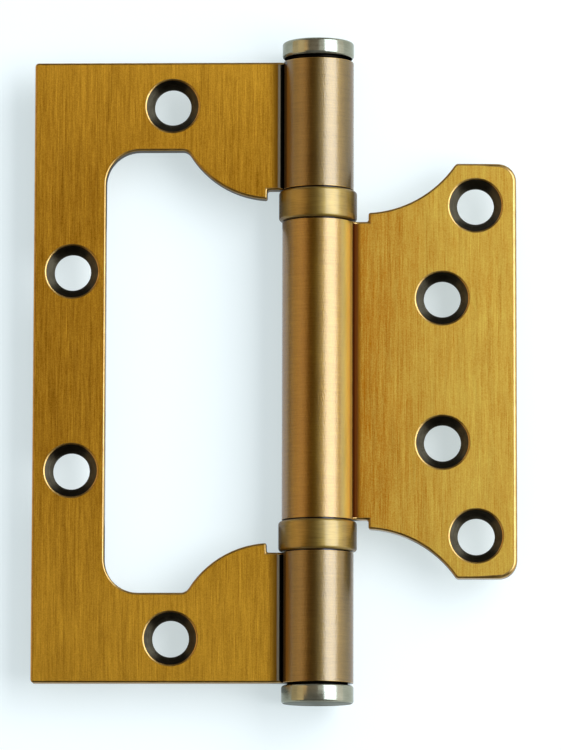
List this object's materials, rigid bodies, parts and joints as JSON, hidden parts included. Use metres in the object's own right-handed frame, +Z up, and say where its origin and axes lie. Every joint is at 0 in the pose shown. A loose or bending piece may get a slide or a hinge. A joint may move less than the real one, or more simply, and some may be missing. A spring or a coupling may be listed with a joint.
{
  "type": "non-mortise hinge",
  "caption": "Butterfly hinge whose inner leaf folds flat into a window in the outer leaf, with rolled knuckles, thrust ball bearings and button end caps.",
  "frame": {"origin": "on the pin's axis, at the middle of its length", "axes": "+Z up along the pin, the outer leaf towards -X, the inner leaf towards +X, countersunk faces towards -Y"},
  "size_m": [0.0774, 0.0126, 0.1064],
  "materials": {
    "outer_leaf_plate": "brushed stainless steel sheet, plated antique gold",
    "inner_leaf_plate": "brushed stainless steel sheet, plated antique gold",
    "casing_plate": "turned steel ring, plated antique gold",
    "cap_plate": "turned steel button, plated pale nickel brass",
    "pin_steel": "drawn steel rod",
    "bearing_steel": "ground bearing steel"
  },
  "bodies": {
    "outer": {"outer_leaf": "outer_leaf_plate", "hinge_pin": "pin_steel", "upper_end_cap": "cap_plate", "upper_bearing_casing": "casing_plate", "upper_fixed_race": "bearing_steel", "lower_end_cap": "cap_plate", "lower_bearing_casing": "casing_plate", "lower_fixed_race": "bearing_steel"},
    "inner": {"inner_leaf": "inner_leaf_plate", "upper_moving_race": "bearing_steel", "lower_moving_race": "bearing_steel"},
    "upper_balls": {"upper_bearing_balls": "bearing_steel"},
    "lower_balls": {"lower_bearing_balls": "bearing_steel"}
  },
  "joints": [
    {"name": "leaf_swing", "type": "hinge", "parent": "outer", "child": "inner", "pos_m": [0, 0, 0], "axis": [0, 0, -1], "continuous": true},
    {"name": "upper_ball_orbit", "type": "hinge", "parent": "outer", "child": "upper_balls", "pos_m": [0, 0, 0], "axis": [0, 0, -1], "continuous": true},
    {"name": "lower_ball_orbit", "type": "hinge", "parent": "outer", "child": "lower_balls", "pos_m": [0, 0, 0], "axis": [0, 0, -1], "continuous": true}
  ],
  "couplings": [
    {"joint": "upper_ball_orbit", "follows": "leaf_swing", "ratio": 0.5},
    {"joint": "lower_ball_orbit", "follows": "leaf_swing", "ratio": 0.5}
  ]
}
